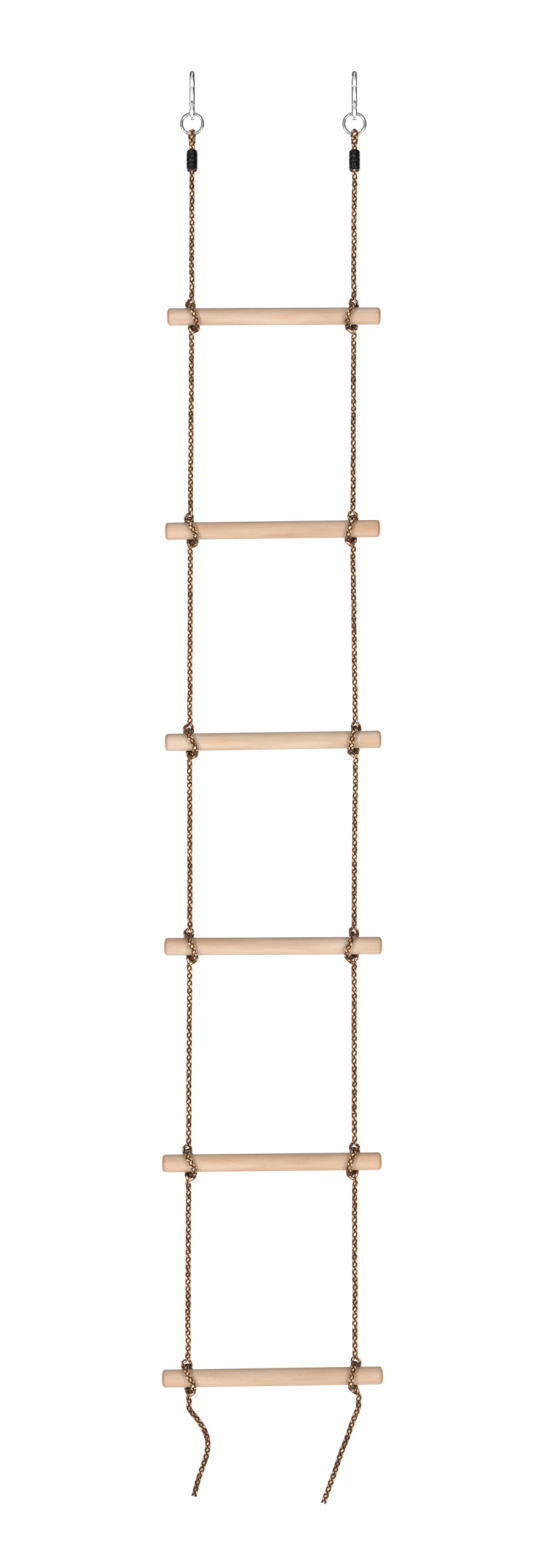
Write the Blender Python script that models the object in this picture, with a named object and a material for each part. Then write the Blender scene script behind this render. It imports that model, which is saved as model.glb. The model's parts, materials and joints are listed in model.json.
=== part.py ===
"""Hanging rope ladder: two snap hooks, two rings, two side ropes with sleeved eyes, six wooden rungs.

Metres, +Z up, +X across the ladder. The front, with the hooks' gates, faces -Y.
The origin is midway between the hooks, at the height where they sit on what they hang from.
"""

import math

import bmesh
import bpy
from mathutils import Matrix, Vector

# Snap hooks
HOOK_X = 0.134
HOOK_LENGTH = 0.082
HOOK_WIRE = 0.004
HEAD_BEND = 0.014
FOOT_BEND = 0.009
PIVOT_HEIGHT = -0.0515
NOSE_END = 0.0291
SHOULDER = -0.0070
TANG_HALF = (0.0018, 0.0032)
TANG_TOP = 0.0028
NOSE_SLOT_TOP = 0.0332

# Gates, measured from the pivot along the gate
GATE_RADIUS = 0.004
GATE_END = -0.0048
GATE_TOP = 0.0286
GATE_BORE = 0.0025
GATE_BORE_TOP = 0.024
GATE_SLOT_HALF = 0.0021
GATE_SLOT_TOP = 0.006
PIN_RADIUS = 0.0012
PIN_HOLE = 0.0015
PIN_HEAD = 0.0020
PLUNGER_TIP = 0.0031
PLUNGER_COLLAR = 0.0066
PLUNGER_TOP = 0.0092
SPRING_RADIUS = 0.00175
SPRING_WIRE = 0.0003
SPRING_SPAN = (0.0098, 0.0234)
SPRING_TURNS = 7

# Rings
RING_BEND = 0.0175
RING_WIRE = 0.0025

# Rungs: length, radius, height of the middle, and how much higher the right knot was tied than the left
RUNG_LENGTH = 0.350
RUNG_RADIUS = 0.014
RUNG_EDGE = 0.0045
RUNG_HEIGHTS = (-0.4055, -0.7605, -1.1065, -1.4385, -1.7835, -2.1215)
RUNG_RISES = (0.0012, 0.0036, 0.0040, 0.0014, 0.0028, 0.0038)
RUNG_SHIFTS = (0.001, -0.001, 0.000, 0.000, -0.002, -0.001)

# Side ropes: where each knot was tied along its rung
ROPE_RADIUS = 0.0045
ROPE_X = {
    "left": (-0.134, -0.135, -0.135, -0.134, -0.135, -0.135),
    "right": (0.132, 0.130, 0.133, 0.130, 0.130, 0.130),
}
KNOT_REACH = 0.038
FLEX_DROP = 0.0465
NECK = 0.0012
BEAD = 0.0024
TAPER = 0.0082

# Eyes and sleeves
EYE_HALF = (0.0064, 0.0030)
LEG_RADIUS = 0.0043
LEG_Y = 0.0046
SLEEVE_SPAN = (-0.1260, -0.1610)
SLEEVE_HALF = (0.0090, 0.0120)
SLEEVE_BANDS = 5
GROOVE_DEPTH = 0.0010

# Free rope ends below the last rung: routes as (x, y, z) distances from the last knot's flex point
TAIL_ROUTES = {
    "left": (
        (0.000, 0.000, 0.000),
        (0.014, 0.001, -0.018),
        (0.026, 0.002, -0.036),
        (0.032, 0.003, -0.056),
        (0.030, 0.002, -0.075),
        (0.024, 0.000, -0.092),
        (0.017, -0.002, -0.112),
        (0.010, -0.004, -0.138),
    ),
    "right": (
        (0.000, 0.000, 0.000),
        (0.001, 0.000, -0.012),
        (-0.004, 0.001, -0.027),
        (-0.011, 0.002, -0.046),
        (-0.021, 0.003, -0.068),
        (-0.028, 0.003, -0.088),
        (-0.036, 0.001, -0.110),
        (-0.050, -0.003, -0.149),
    ),
}
TAIL_POINTS = 12

GAP = 0.0003
SIDES = {"left": -1, "right": 1}
X_AXIS = Vector((1, 0, 0))


def clear_scene():
    for obj in list(bpy.data.objects):
        bpy.data.objects.remove(obj)


def material(name, colour, roughness, metallic=0.0):
    """A Principled material of one colour, made once and used again by name."""
    found = bpy.data.materials.get(name)
    if found:
        return found
    made = bpy.data.materials.new(name)
    made.use_nodes = True
    shader = made.node_tree.nodes["Principled BSDF"]
    shader.inputs["Base Color"].default_value = (*colour, 1)
    shader.inputs["Roughness"].default_value = roughness
    shader.inputs["Metallic"].default_value = metallic
    return made


def zinc():
    return material("zinc_plated_steel", (0.60, 0.61, 0.63), 0.35, 1.0)


def bright_steel():
    return material("bright_steel", (0.42, 0.44, 0.46), 0.20, 1.0)


def black_plastic():
    return material("black_plastic", (0.012, 0.012, 0.014), 0.35)


def beech():
    return material("beech", (0.66, 0.47, 0.33), 0.55)


def braid():
    return material("brown_braid", (0.30, 0.17, 0.08), 0.60)


def add_object(name, mesh, made_of=None, at=(0, 0, 0), parent=None):
    obj = bpy.data.objects.new(name, mesh)
    obj.location = at
    obj.parent = parent
    if made_of:
        mesh.materials.append(made_of)
    bpy.context.scene.collection.objects.link(obj)
    return obj


def finish_mesh(name, bm, smooth=True):
    bmesh.ops.recalc_face_normals(bm, faces=bm.faces)
    mesh = bpy.data.meshes.new(name)
    bm.to_mesh(mesh)
    bm.free()
    if smooth:
        mesh.shade_smooth()
        mesh.set_sharp_from_angle(angle=math.radians(40))
    return mesh


def tube(name, points, halves, sides, closed=False, turn=0.5):
    """A tube along points in planes that X can be square to. halves gives (across X, the other way)."""
    bm = bmesh.new()
    rings = []
    count = len(points)
    for i, point in enumerate(points):
        before = points[(i - 1) % count] if closed else points[max(i - 1, 0)]
        after = points[(i + 1) % count] if closed else points[min(i + 1, count - 1)]
        along = (Vector(after) - Vector(before)).normalized()
        across = (X_AXIS - along * along.dot(X_AXIS)).normalized()
        other = along.cross(across)
        wide, thick = halves[i] if isinstance(halves, (list, tuple)) else (halves, halves)
        ring = []
        for k in range(sides):
            angle = math.tau * (k + turn) / sides
            offset = across * (wide * math.cos(angle)) + other * (thick * math.sin(angle))
            ring.append(bm.verts.new(Vector(point) + offset))
        rings.append(ring)
    pairs = list(zip(rings, rings[1:]))
    if closed:
        pairs.append((rings[-1], rings[0]))
    for low, high in pairs:
        for k in range(sides):
            nxt = (k + 1) % sides
            bm.faces.new((low[k], low[nxt], high[nxt], high[k]))
    if not closed:
        bm.faces.new(rings[0])
        bm.faces.new(rings[-1])
    return finish_mesh(name, bm)


def lathe_x(name, profile, sides):
    """A solid turned about X. The profile is (x, radius) from one flat end to the other."""
    bm = bmesh.new()
    rings = []
    for x, radius in profile:
        angles = [math.tau * (k + 0.5) / sides for k in range(sides)]
        rings.append([bm.verts.new((x, radius * math.cos(a), radius * math.sin(a))) for a in angles])
    for low, high in zip(rings, rings[1:]):
        for k in range(sides):
            nxt = (k + 1) % sides
            bm.faces.new((low[k], low[nxt], high[nxt], high[k]))
    bm.faces.new(rings[0])
    bm.faces.new(rings[-1])
    return finish_mesh(name, bm)


def box(name, low, high):
    bm = bmesh.new()
    bmesh.ops.create_cube(bm, size=1)
    size = [b - a for a, b in zip(low, high)]
    middle = [(a + b) / 2 for a, b in zip(low, high)]
    bmesh.ops.transform(bm, matrix=Matrix.Translation(middle) @ Matrix.Diagonal((*size, 1)), verts=bm.verts)
    return finish_mesh(name, bm, smooth=False)


def boolean(obj, operation, helper_mesh, parent=None, at=(0, 0, 0)):
    """Joins a helper shape to the object or cuts it away. The helper stays hidden."""
    helper = add_object(helper_mesh.name, helper_mesh, parent=parent, at=at)
    helper.hide_render = True
    helper.display_type = "WIRE"
    step = obj.modifiers.new(helper.name, "BOOLEAN")
    step.operation = operation
    step.solver = "EXACT"
    step.object = helper


def arc(centre, radius, start, end, steps):
    """Points on an arc in the Y-Z plane. Angles are degrees from +Y towards +Z."""
    points = []
    for i in range(steps + 1):
        angle = math.radians(start + (end - start) * i / steps)
        points.append((0, centre[0] + radius * math.cos(angle), centre[1] + radius * math.sin(angle)))
    return points


# The two bends of a hook share a straight spine behind and a straight gate line in front.
HEAD_CENTRE = HOOK_WIRE - HEAD_BEND
FOOT_CENTRE = 2 * HOOK_WIRE - HOOK_LENGTH + HOOK_WIRE + FOOT_BEND
LEAN = math.asin((HEAD_BEND - FOOT_BEND) / (HEAD_CENTRE - FOOT_CENTRE))
PIVOT_Y = -(HEAD_BEND - (HEAD_CENTRE - PIVOT_HEIGHT) * math.sin(LEAN)) / math.cos(LEAN)
RING_TOP = 2 * HOOK_WIRE - HOOK_LENGTH + 2 * HOOK_WIRE + RING_WIRE + GAP
RING_CENTRE = RING_TOP - RING_BEND
RING_FOOT = RING_TOP - 2 * RING_BEND


def gate_frame(side):
    """An empty at the gate's pivot, with +Z along the closed gate and +Y into the hook."""
    frame = bpy.data.objects.new("gate_frame_" + side, None)
    frame.location = (SIDES[side] * HOOK_X, PIVOT_Y, PIVOT_HEIGHT)
    frame.rotation_euler = (LEAN, 0, 0)
    bpy.context.scene.collection.objects.link(frame)
    return frame


def on_gate_line(distance):
    """A point on the closed gate's line, in the hook's own frame."""
    return (0, PIVOT_Y - distance * math.sin(LEAN), PIVOT_HEIGHT + distance * math.cos(LEAN))


def make_hook(side, frame):
    """Bent wire with a slotted nose and a flat tang that the gate turns on."""
    tilt = math.degrees(LEAN)
    route = [on_gate_line(NOSE_END)]
    route += arc((0, HEAD_CENTRE), HEAD_BEND, 180 + tilt, -tilt, 12)
    route += arc((0, FOOT_CENTRE), FOOT_BEND, -tilt, -180 + tilt, 10)
    route.append(on_gate_line(SHOULDER))
    mesh = tube("hook_" + side, route, HOOK_WIRE, 12)
    hook = add_object("hook_" + side, mesh, zinc(), at=(SIDES[side] * HOOK_X, 0, 0))
    across, deep = TANG_HALF
    tang = box("tang_" + side, (-across, -deep, SHOULDER - 0.002), (across, deep, TANG_TOP))
    boolean(hook, "UNION", tang, frame)
    hole = lathe_x("tang_hole_" + side, ((-0.006, PIN_HOLE), (0.006, PIN_HOLE)), 12)
    boolean(hook, "DIFFERENCE", hole, frame)
    slot = box("nose_slot_" + side, (-0.0018, -0.0002, NOSE_END - 0.002), (0.0018, 0.006, NOSE_SLOT_TOP))
    boolean(hook, "DIFFERENCE", slot, frame)


def make_gate(side, frame):
    """A round bar, bored for its spring, forked over the tang, with a tongue that locks in the nose."""
    bar = tube("gate_" + side, ((0, 0, GATE_END), (0, 0, GATE_TOP)), GATE_RADIUS, 16)
    gate = add_object("gate_" + side, bar, zinc(), parent=frame)
    tongue = box("tongue_" + side, (-0.0014, 0.0002, GATE_TOP - 0.002), (0.0014, 0.0030, 0.0326))
    boolean(gate, "UNION", tongue, frame)
    slot = box("fork_" + side, (-GATE_SLOT_HALF, -0.006, GATE_END - 0.002), (GATE_SLOT_HALF, 0.006, GATE_SLOT_TOP))
    boolean(gate, "DIFFERENCE", slot, frame)
    bore = tube("bore_" + side, ((0, 0, GATE_SLOT_TOP - 0.002), (0, 0, GATE_BORE_TOP)), GATE_BORE, 12)
    boolean(gate, "DIFFERENCE", bore, frame)
    hole = lathe_x("gate_hole_" + side, ((-0.006, PIN_HOLE), (0.006, PIN_HOLE)), 12)
    boolean(gate, "DIFFERENCE", hole, frame)


def make_gate_pin(side, frame):
    head_in = GATE_RADIUS + GAP
    head_out = head_in + 0.0007
    profile = (
        (-head_out, PIN_HEAD * 0.7),
        (-head_in, PIN_HEAD),
        (-head_in + 0.00001, PIN_RADIUS),
        (head_in - 0.00001, PIN_RADIUS),
        (head_in, PIN_HEAD),
        (head_out, PIN_HEAD * 0.7),
    )
    add_object("gate_pin_" + side, lathe_x("gate_pin_" + side, profile, 12), zinc(), parent=frame)


def make_plunger(side, frame):
    """The spring's plunger, which rides on the tang and pushes the gate shut."""
    points = [(0, 0, z) for z in (PLUNGER_TIP, PLUNGER_COLLAR - 0.0002, PLUNGER_COLLAR, PLUNGER_TOP)]
    mesh = tube("gate_plunger_" + side, points, ((NECK, NECK), (NECK, NECK), (0.002, 0.002), (0.002, 0.002)), 10)
    add_object("gate_plunger_" + side, mesh, zinc(), parent=frame)


def make_spring(side, frame):
    low, high = SPRING_SPAN
    steps = SPRING_TURNS * 9
    points = []
    for i in range(steps + 1):
        angle = math.tau * SPRING_TURNS * i / steps
        height = low + SPRING_WIRE + (high - low - 2 * SPRING_WIRE) * i / steps
        points.append((SPRING_RADIUS * math.cos(angle), SPRING_RADIUS * math.sin(angle), height))
    curve = bpy.data.curves.new("gate_spring_" + side, "CURVE")
    curve.dimensions = "3D"
    curve.bevel_depth = SPRING_WIRE
    curve.bevel_resolution = 0
    curve.use_fill_caps = True
    spline = curve.splines.new("POLY")
    spline.points.add(len(points) - 1)
    for place, point in zip(spline.points, points):
        place.co = (*point, 1)
    add_object("gate_spring_" + side, curve, bright_steel(), parent=frame)


def make_ring(side):
    """A welded round ring that hangs in the hook's foot, facing front."""
    bm = bmesh.new()
    steps, sides = 28, 8
    rings = []
    for i in range(steps):
        around = math.tau * i / steps
        ring = []
        for k in range(sides):
            angle = math.tau * (k + 0.5) / sides
            reach = RING_BEND + RING_WIRE * math.cos(angle)
            spot = (reach * math.cos(around), RING_WIRE * math.sin(angle), reach * math.sin(around))
            ring.append(bm.verts.new(spot))
        rings.append(ring)
    for i in range(steps):
        low, high = rings[i], rings[(i + 1) % steps]
        for k in range(sides):
            nxt = (k + 1) % sides
            bm.faces.new((low[k], low[nxt], high[nxt], high[k]))
    mesh = finish_mesh("ring_" + side, bm)
    add_object("ring_" + side, mesh, bright_steel(), at=(SIDES[side] * HOOK_X, 0, RING_CENTRE))


def make_sleeve(side):
    """A ribbed clamp sleeve around both legs of the rope's eye."""
    top, bottom = SLEEVE_SPAN
    wide, deep = SLEEVE_HALF
    band = (top - bottom) / SLEEVE_BANDS
    levels = [(top, 0.0030), (top - 0.0010, 0.0012), (top - 0.0030, 0.0)]
    for i in range(1, SLEEVE_BANDS):
        middle = top - i * band
        levels += [(middle + 0.0012, 0.0), (middle, GROOVE_DEPTH), (middle - 0.0012, 0.0)]
    levels += [(bottom + 0.0030, 0.0), (bottom + 0.0010, 0.0012), (bottom, 0.0030)]
    points = [(0, 0, z) for z, _ in levels]
    halves = [(wide - cut, deep - cut) for _, cut in levels]
    x = SIDES[side] * HOOK_X
    sleeve = add_object("sleeve_" + side, tube("sleeve_" + side, points, halves, 18), black_plastic(), at=(x, 0, 0))
    hole = LEG_RADIUS + 0.00035
    bm = bmesh.new()
    outline = []
    for i in range(16):
        angle = math.tau * (i + 0.5) / 16
        shift = LEG_Y if math.sin(angle) > 0 else -LEG_Y
        outline.append((hole * math.cos(angle), shift + hole * math.sin(angle)))
    rings = [[bm.verts.new((px, py, z)) for px, py in outline] for z in (bottom - 0.002, top + 0.002)]
    for k in range(16):
        nxt = (k + 1) % 16
        bm.faces.new((rings[0][k], rings[0][nxt], rings[1][nxt], rings[1][k]))
    bm.faces.new(rings[0])
    bm.faces.new(rings[1])
    boolean(sleeve, "DIFFERENCE", finish_mesh("sleeve_bore_" + side, bm), at=(x, 0, 0))


def knot_height(side, rung):
    """The height of the rung's axis where this side's rope crosses it."""
    return RUNG_HEIGHTS[rung] + RUNG_RISES[rung] / 2 * SIDES[side]


def flex_height(rung):
    return RUNG_HEIGHTS[rung] - FLEX_DROP


def make_rope_top(side):
    """The rope's short end, its eye over the ring, and its standing part down to the first knot."""
    legs_top, legs_bottom = SLEEVE_SPAN
    radial = RING_WIRE + GAP + EYE_HALF[1]
    mid_leg = (legs_top + RING_FOOT) / 2
    round_leg = (LEG_RADIUS, LEG_RADIUS)
    route = [((0, LEG_Y, legs_bottom + 0.004), round_leg), ((0, LEG_Y, legs_top), round_leg)]
    route.append(((0, 0.0053, mid_leg), (0.0052, 0.0036)))
    route += [(point, EYE_HALF) for point in arc((0, RING_FOOT), radial, 0, 180, 8)]
    route.append(((0, -0.0053, mid_leg), (0.0052, 0.0036)))
    route += [((0, -LEG_Y, legs_top), round_leg), ((0, -LEG_Y, legs_bottom - 0.003), round_leg)]
    end_x = ROPE_X[side][0] - SIDES[side] * HOOK_X
    end = knot_height(side, 0) + KNOT_REACH + GAP
    route.append(((0, -0.0036, legs_bottom - 0.020), (0.0044, 0.0044)))
    route.append(((end_x * 0.2, -0.0012, legs_bottom - 0.045), (ROPE_RADIUS, ROPE_RADIUS)))
    route.append(((end_x * 0.4, 0, legs_bottom - 0.070), (ROPE_RADIUS, ROPE_RADIUS)))
    route.append(((end_x, 0, end), (ROPE_RADIUS, ROPE_RADIUS)))
    points = [point for point, _ in route]
    halves = [half for _, half in route]
    name = "rope_" + side + "_top"
    add_object(name, tube(name, points, halves, 10), braid(), at=(SIDES[side] * HOOK_X, 0, 0))


def make_knot(side, rung):
    """The hitch that holds a rung: the rope passes behind it, and its turn crosses the front on a slant."""
    inward = -SIDES[side]
    reach = (RUNG_RADIUS + 0.0005 + ROPE_RADIUS) / math.cos(math.pi / 16)
    end = KNOT_REACH
    foot = flex_height(rung) + 0.0027 - knot_height(side, rung)
    full = (ROPE_RADIUS, ROPE_RADIUS)
    opened = (0.0072, 0.0036)
    strand = (
        ((0.0, 0.0, end), full),
        ((0.0, 0.0, 0.031), full),
        ((-0.0010, 0.0040, 0.0245), opened),
        ((-0.0010, 0.0120, 0.0165), full),
        ((0.0, 0.0185, 0.0070), full),
        ((0.0, 0.0200, -0.0010), full),
        ((0.0, 0.0175, -0.0090), full),
        ((0.0010, 0.0110, -0.0175), full),
        ((0.0030, 0.0030, -0.0245), opened),
        ((0.0, 0.0, -0.0315), full),
        ((0.0, 0.0, foot + TAPER - 0.0023), full),
        ((0.0, 0.0, foot), (NECK, NECK)),
    )
    points = [(x * inward, y, z) for (x, y, z), _ in strand]
    halves = [half for _, half in strand]
    name = "rope_" + side + "_knot_" + str(rung + 1)
    at = (ROPE_X[side][rung], 0, knot_height(side, rung))
    knot = add_object(name, tube(name, points, halves, 8), braid(), at=at)
    turn = []
    for i in range(16):
        angle = math.tau * i / 16
        slant = 0.0035 - 0.0048 * math.sin(angle)
        turn.append((slant * inward, -reach * math.cos(angle), reach * math.sin(angle)))
    boolean(knot, "UNION", tube(name + "_turn", turn, ROPE_RADIUS, 7, closed=True), at=at)


def smooth_route(corners, count):
    """Evenly spaced points on a smooth curve through the corners."""
    dense = []
    for i in range(len(corners) - 1):
        a = Vector(corners[max(i - 1, 0)])
        b = Vector(corners[i])
        c = Vector(corners[i + 1])
        d = Vector(corners[min(i + 2, len(corners) - 1)])
        for k in range(20):
            t = k / 20
            point = b * 2 + (c - a) * t + (a * 2 - b * 5 + c * 4 - d) * t**2 + (b * 3 - a - c * 3 + d) * t**3
            dense.append(point / 2)
    dense.append(Vector(corners[-1]))
    lengths = [0.0]
    for a, b in zip(dense, dense[1:]):
        lengths.append(lengths[-1] + (b - a).length)
    points = []
    for i in range(count):
        wanted = lengths[-1] * i / (count - 1)
        k = max(j for j in range(len(dense)) if lengths[j] <= wanted + 1e-9)
        if k == len(dense) - 1:
            points.append(dense[k])
            continue
        share = (wanted - lengths[k]) / (lengths[k + 1] - lengths[k])
        points.append(dense[k].lerp(dense[k + 1], share))
    return points


def rope_curve(name, stations):
    """A rope as a bevelled curve through (point, radius) stations."""
    curve = bpy.data.curves.new(name, "CURVE")
    curve.dimensions = "3D"
    curve.bevel_depth = ROPE_RADIUS
    curve.bevel_resolution = 2
    curve.use_fill_caps = True
    spline = curve.splines.new("POLY")
    spline.points.add(len(stations) - 1)
    for place, (point, radius) in zip(spline.points, stations):
        place.co = (*point, 1)
        place.radius = radius / ROPE_RADIUS
    add_object(name, curve, braid())


def flex_bead(flex, towards):
    """Stations of the narrow end that turns in the flex point between two lengths of rope."""
    down = (towards - flex).normalized()
    return [
        (flex - down * 0.0020, NECK),
        (flex, BEAD),
        (flex + down * 0.0020, 0.0018),
        (flex + down * TAPER, ROPE_RADIUS),
    ]


def make_span(side, rung):
    """The rope from the flex point under one rung's knot to the knot of the rung below it."""
    flex = Vector((ROPE_X[side][rung - 1], 0, flex_height(rung - 1)))
    foot = Vector((ROPE_X[side][rung], 0, knot_height(side, rung) + KNOT_REACH + GAP))
    stations = flex_bead(flex, foot)
    stations += [(flex.lerp(foot, share), ROPE_RADIUS) for share in (0.35, 0.65)]
    stations.append((foot, ROPE_RADIUS))
    rope_curve("rope_" + side + "_span_" + str(rung + 1), stations)


def make_tail(side):
    """The free end of the rope, with the bends that it keeps from being coiled."""
    flex = Vector((ROPE_X[side][-1], 0, flex_height(len(RUNG_HEIGHTS) - 1)))
    route = smooth_route([flex + Vector(step) for step in TAIL_ROUTES[side]], TAIL_POINTS)
    stations = flex_bead(flex, route[1])[:3]
    stations += [(point, ROPE_RADIUS) for point in route[1:]]
    rope_curve("rope_" + side + "_tail", stations)


def make_rung(rung):
    """A round wooden bar with eased ends, level to within a few millimetres."""
    half = RUNG_LENGTH / 2
    profile = []
    for i in range(4):
        angle = math.radians(30 * i)
        inset = RUNG_EDGE * (1 - math.cos(angle))
        profile.append((-half + inset, RUNG_RADIUS - RUNG_EDGE * (1 - math.sin(angle))))
    profile += [(-x, radius) for x, radius in reversed(profile)]
    name = "rung_" + str(rung + 1)
    at = (RUNG_SHIFTS[rung], 0, RUNG_HEIGHTS[rung])
    bar = add_object(name, lathe_x(name, profile, 20), beech(), at=at)
    span = ROPE_X["right"][rung] - ROPE_X["left"][rung]
    bar.rotation_euler = (0, -math.atan2(RUNG_RISES[rung], span), 0)


def main():
    clear_scene()
    for side in SIDES:
        frame = gate_frame(side)
        make_hook(side, frame)
        make_gate(side, frame)
        make_gate_pin(side, frame)
        make_plunger(side, frame)
        make_spring(side, frame)
        make_ring(side)
        make_sleeve(side)
        make_rope_top(side)
        for rung in range(len(RUNG_HEIGHTS)):
            make_knot(side, rung)
            if rung:
                make_span(side, rung)
        make_tail(side)
    for rung in range(len(RUNG_HEIGHTS)):
        make_rung(rung)


main()
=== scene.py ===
"""Looks of the hanging rope ladder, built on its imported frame. Metres, +Z up, front towards -Y."""

import json
import math

import bpy
import numpy as np
from mathutils import Matrix, Vector


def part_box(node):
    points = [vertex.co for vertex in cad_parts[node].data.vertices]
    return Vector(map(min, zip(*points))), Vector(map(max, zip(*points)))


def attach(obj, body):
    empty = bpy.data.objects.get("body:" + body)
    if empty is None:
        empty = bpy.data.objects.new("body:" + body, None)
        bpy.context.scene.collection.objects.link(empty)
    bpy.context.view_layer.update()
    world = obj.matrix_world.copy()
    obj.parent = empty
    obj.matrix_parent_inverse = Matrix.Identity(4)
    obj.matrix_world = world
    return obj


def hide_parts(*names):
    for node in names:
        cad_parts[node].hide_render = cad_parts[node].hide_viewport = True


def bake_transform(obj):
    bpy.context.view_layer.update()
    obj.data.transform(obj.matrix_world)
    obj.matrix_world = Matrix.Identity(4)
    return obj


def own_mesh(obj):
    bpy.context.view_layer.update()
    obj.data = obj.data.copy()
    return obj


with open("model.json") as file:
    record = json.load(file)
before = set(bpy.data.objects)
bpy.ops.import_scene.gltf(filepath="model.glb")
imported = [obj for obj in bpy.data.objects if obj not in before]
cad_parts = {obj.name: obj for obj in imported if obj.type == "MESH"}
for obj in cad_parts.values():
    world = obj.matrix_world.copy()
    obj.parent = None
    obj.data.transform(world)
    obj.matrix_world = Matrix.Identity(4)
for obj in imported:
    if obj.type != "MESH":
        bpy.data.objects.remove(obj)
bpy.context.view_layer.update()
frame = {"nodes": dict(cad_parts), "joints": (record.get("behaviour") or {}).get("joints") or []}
joints = {joint["name"]: joint for joint in frame["joints"]}

MM = 0.001
SIDES = {"left": -1, "right": 1}
RUNGS = 6

# Rope, in millimetres
ROPE_HALF = 4.5
STRAND_REACH = 2.75
STRAND_RISE = 0.80
STRAND_WIDE = 2.15
STRAND_THICK = 0.95
STRAND_SIDES = 10
STEP = 1.15
FINE_STEP = 0.2
BUNDLE_REACH = 1.50
BUNDLE_WIDE = 1.70
BUNDLE_THICK = 1.25
BUNDLE_LAY = 38.0
PULSE_PITCH = 13.0
CORE_REACH = 2.3
CORE_SWELL = 1.5
CORE_SIDES = 8
SPAN_LAY = 46.8
KNOT_LAY = 39.0
TAIL_LAY = 43.0
KNOT_REACH = 38.0
KNOT_TOP = 34.0
LEG_Y = 4.6
LEG_HALF = 4.3
EYE_BEND = 5.8
EYE_HALF = 3.0
FIBRE_TWIST = 14.0
SWELL_PITCH = 9.0

# Rungs, in metres
RUNG_HALF = 0.175
RUNG_RADIUS = 0.014
RUNG_FACE = 0.0062
RUNG_ROUNDING = 0.0052
END_BAND = 0.0030

# How much red, green and blue each rung gives back: partly the boards' own tones, partly painted shade, the
# sixth rung darkened for the shade over its lower part.
RUNG_TINTS = (
    (0.93, 0.90, 0.89),
    (0.91, 0.83, 0.77),
    (0.94, 0.94, 0.93),
    (0.91, 0.88, 0.87),
    (0.92, 0.85, 0.78),
    (0.88, 0.82, 0.77),
)

# Hardware, in metres
HOOK_LENGTH = 0.082
HOOK_WIRE = 0.004
HEAD_BEND = 0.014
FOOT_BEND = 0.009
NOSE_END = 0.0291
SHOULDER = -0.0070
TANG_HALF = 0.0018
FORK_HALF = 0.0021
GATE_BORE = 0.0025
RIVET_HOLE = 0.0015
COIL_LOW = 0.0094
COIL_HIGH = 0.0234
COIL_RADIUS = 0.00175
COIL_WIRE = 0.0003
COIL_TURNS = 7
RING_BEND = 0.0175
RING_WIRE = 0.0025
RING_SEAM = 0.00004
SLEEVE_WIDE = 0.0090
SLEEVE_DEEP = 0.0120
SLEEVE_BANDS = 5
SLEEVE_BORE = 0.00465

# Studio, in metres
FLOOR_RADIUS = 5
FLOOR_HEIGHT = -3.2
FLOOR_SIDES = 64


# ---------------------------------------------------------------- node materials


class Paint:
    """A procedural material: short calls that add nodes and link them."""

    def __init__(self, name):
        self.material = bpy.data.materials.new(name)
        self.material.use_nodes = True
        self.tree = self.material.node_tree
        self.shader = self.tree.nodes["Principled BSDF"]

    def node(self, kind, inputs=None, **settings):
        made = self.tree.nodes.new(kind)
        for key, value in settings.items():
            setattr(made, key, value)
        for key, value in (inputs or {}).items():
            self.feed(made.inputs[key], value)
        return made

    def feed(self, socket, value):
        if isinstance(value, bpy.types.NodeSocket):
            self.tree.links.new(value, socket)
        else:
            socket.default_value = value

    def set(self, **inputs):
        for key, value in inputs.items():
            self.feed(self.shader.inputs[key.replace("_", " ")], value)

    def attribute(self, name, output="Fac"):
        return self.node("ShaderNodeAttribute", attribute_name=name).outputs[output]

    def place(self):
        return self.node("ShaderNodeTexCoord").outputs["Object"]

    def stretched(self, vector, scale):
        return self.node("ShaderNodeVectorMath", {0: vector, 1: scale}, operation="MULTIPLY").outputs[0]

    def noise(self, vector, scale, detail=2.0, rough=0.5):
        inputs = {"Vector": vector, "Scale": scale, "Detail": detail, "Roughness": rough}
        return self.node("ShaderNodeTexNoise", inputs).outputs["Fac"]

    def sum(self, a, b, operation="ADD"):
        return self.node("ShaderNodeMath", {0: a, 1: b}, operation=operation).outputs[0]

    def spread(self, value, low, high, to_low=0.0, to_high=1.0):
        inputs = {"Value": value, "From Min": low, "From Max": high, "To Min": to_low, "To Max": to_high}
        return self.node("ShaderNodeMapRange", inputs).outputs["Result"]

    def ramp(self, value, stops):
        made = self.node("ShaderNodeValToRGB", {"Fac": value})
        points = made.color_ramp.elements
        while len(points) < len(stops):
            points.new(0.5)
        for point, (place, colour) in zip(points, stops):
            point.position = place
            point.color = (*colour, 1)
        return made.outputs["Color"]

    def mix(self, share, a, b, blend="MIX"):
        made = self.node("ShaderNodeMix", data_type="RGBA", blend_type=blend)
        colours = [socket for socket in made.inputs if socket.type == "RGBA"]
        self.feed(made.inputs[0], share)
        self.feed(colours[0], a)
        self.feed(colours[1], b)
        return [socket for socket in made.outputs if socket.type == "RGBA"][0]

    def bump(self, height, strength, distance):
        inputs = {"Height": height, "Strength": strength, "Distance": distance}
        self.set(Normal=self.node("ShaderNodeBump", inputs).outputs["Normal"])


def shade(hexes):
    """A display colour as linear light."""
    parts = [int(hexes[i : i + 2], 16) / 255 for i in (0, 2, 4)]
    return tuple(c / 12.92 if c <= 0.04045 else ((c + 0.055) / 1.055) ** 2.4 for c in parts)


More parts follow.
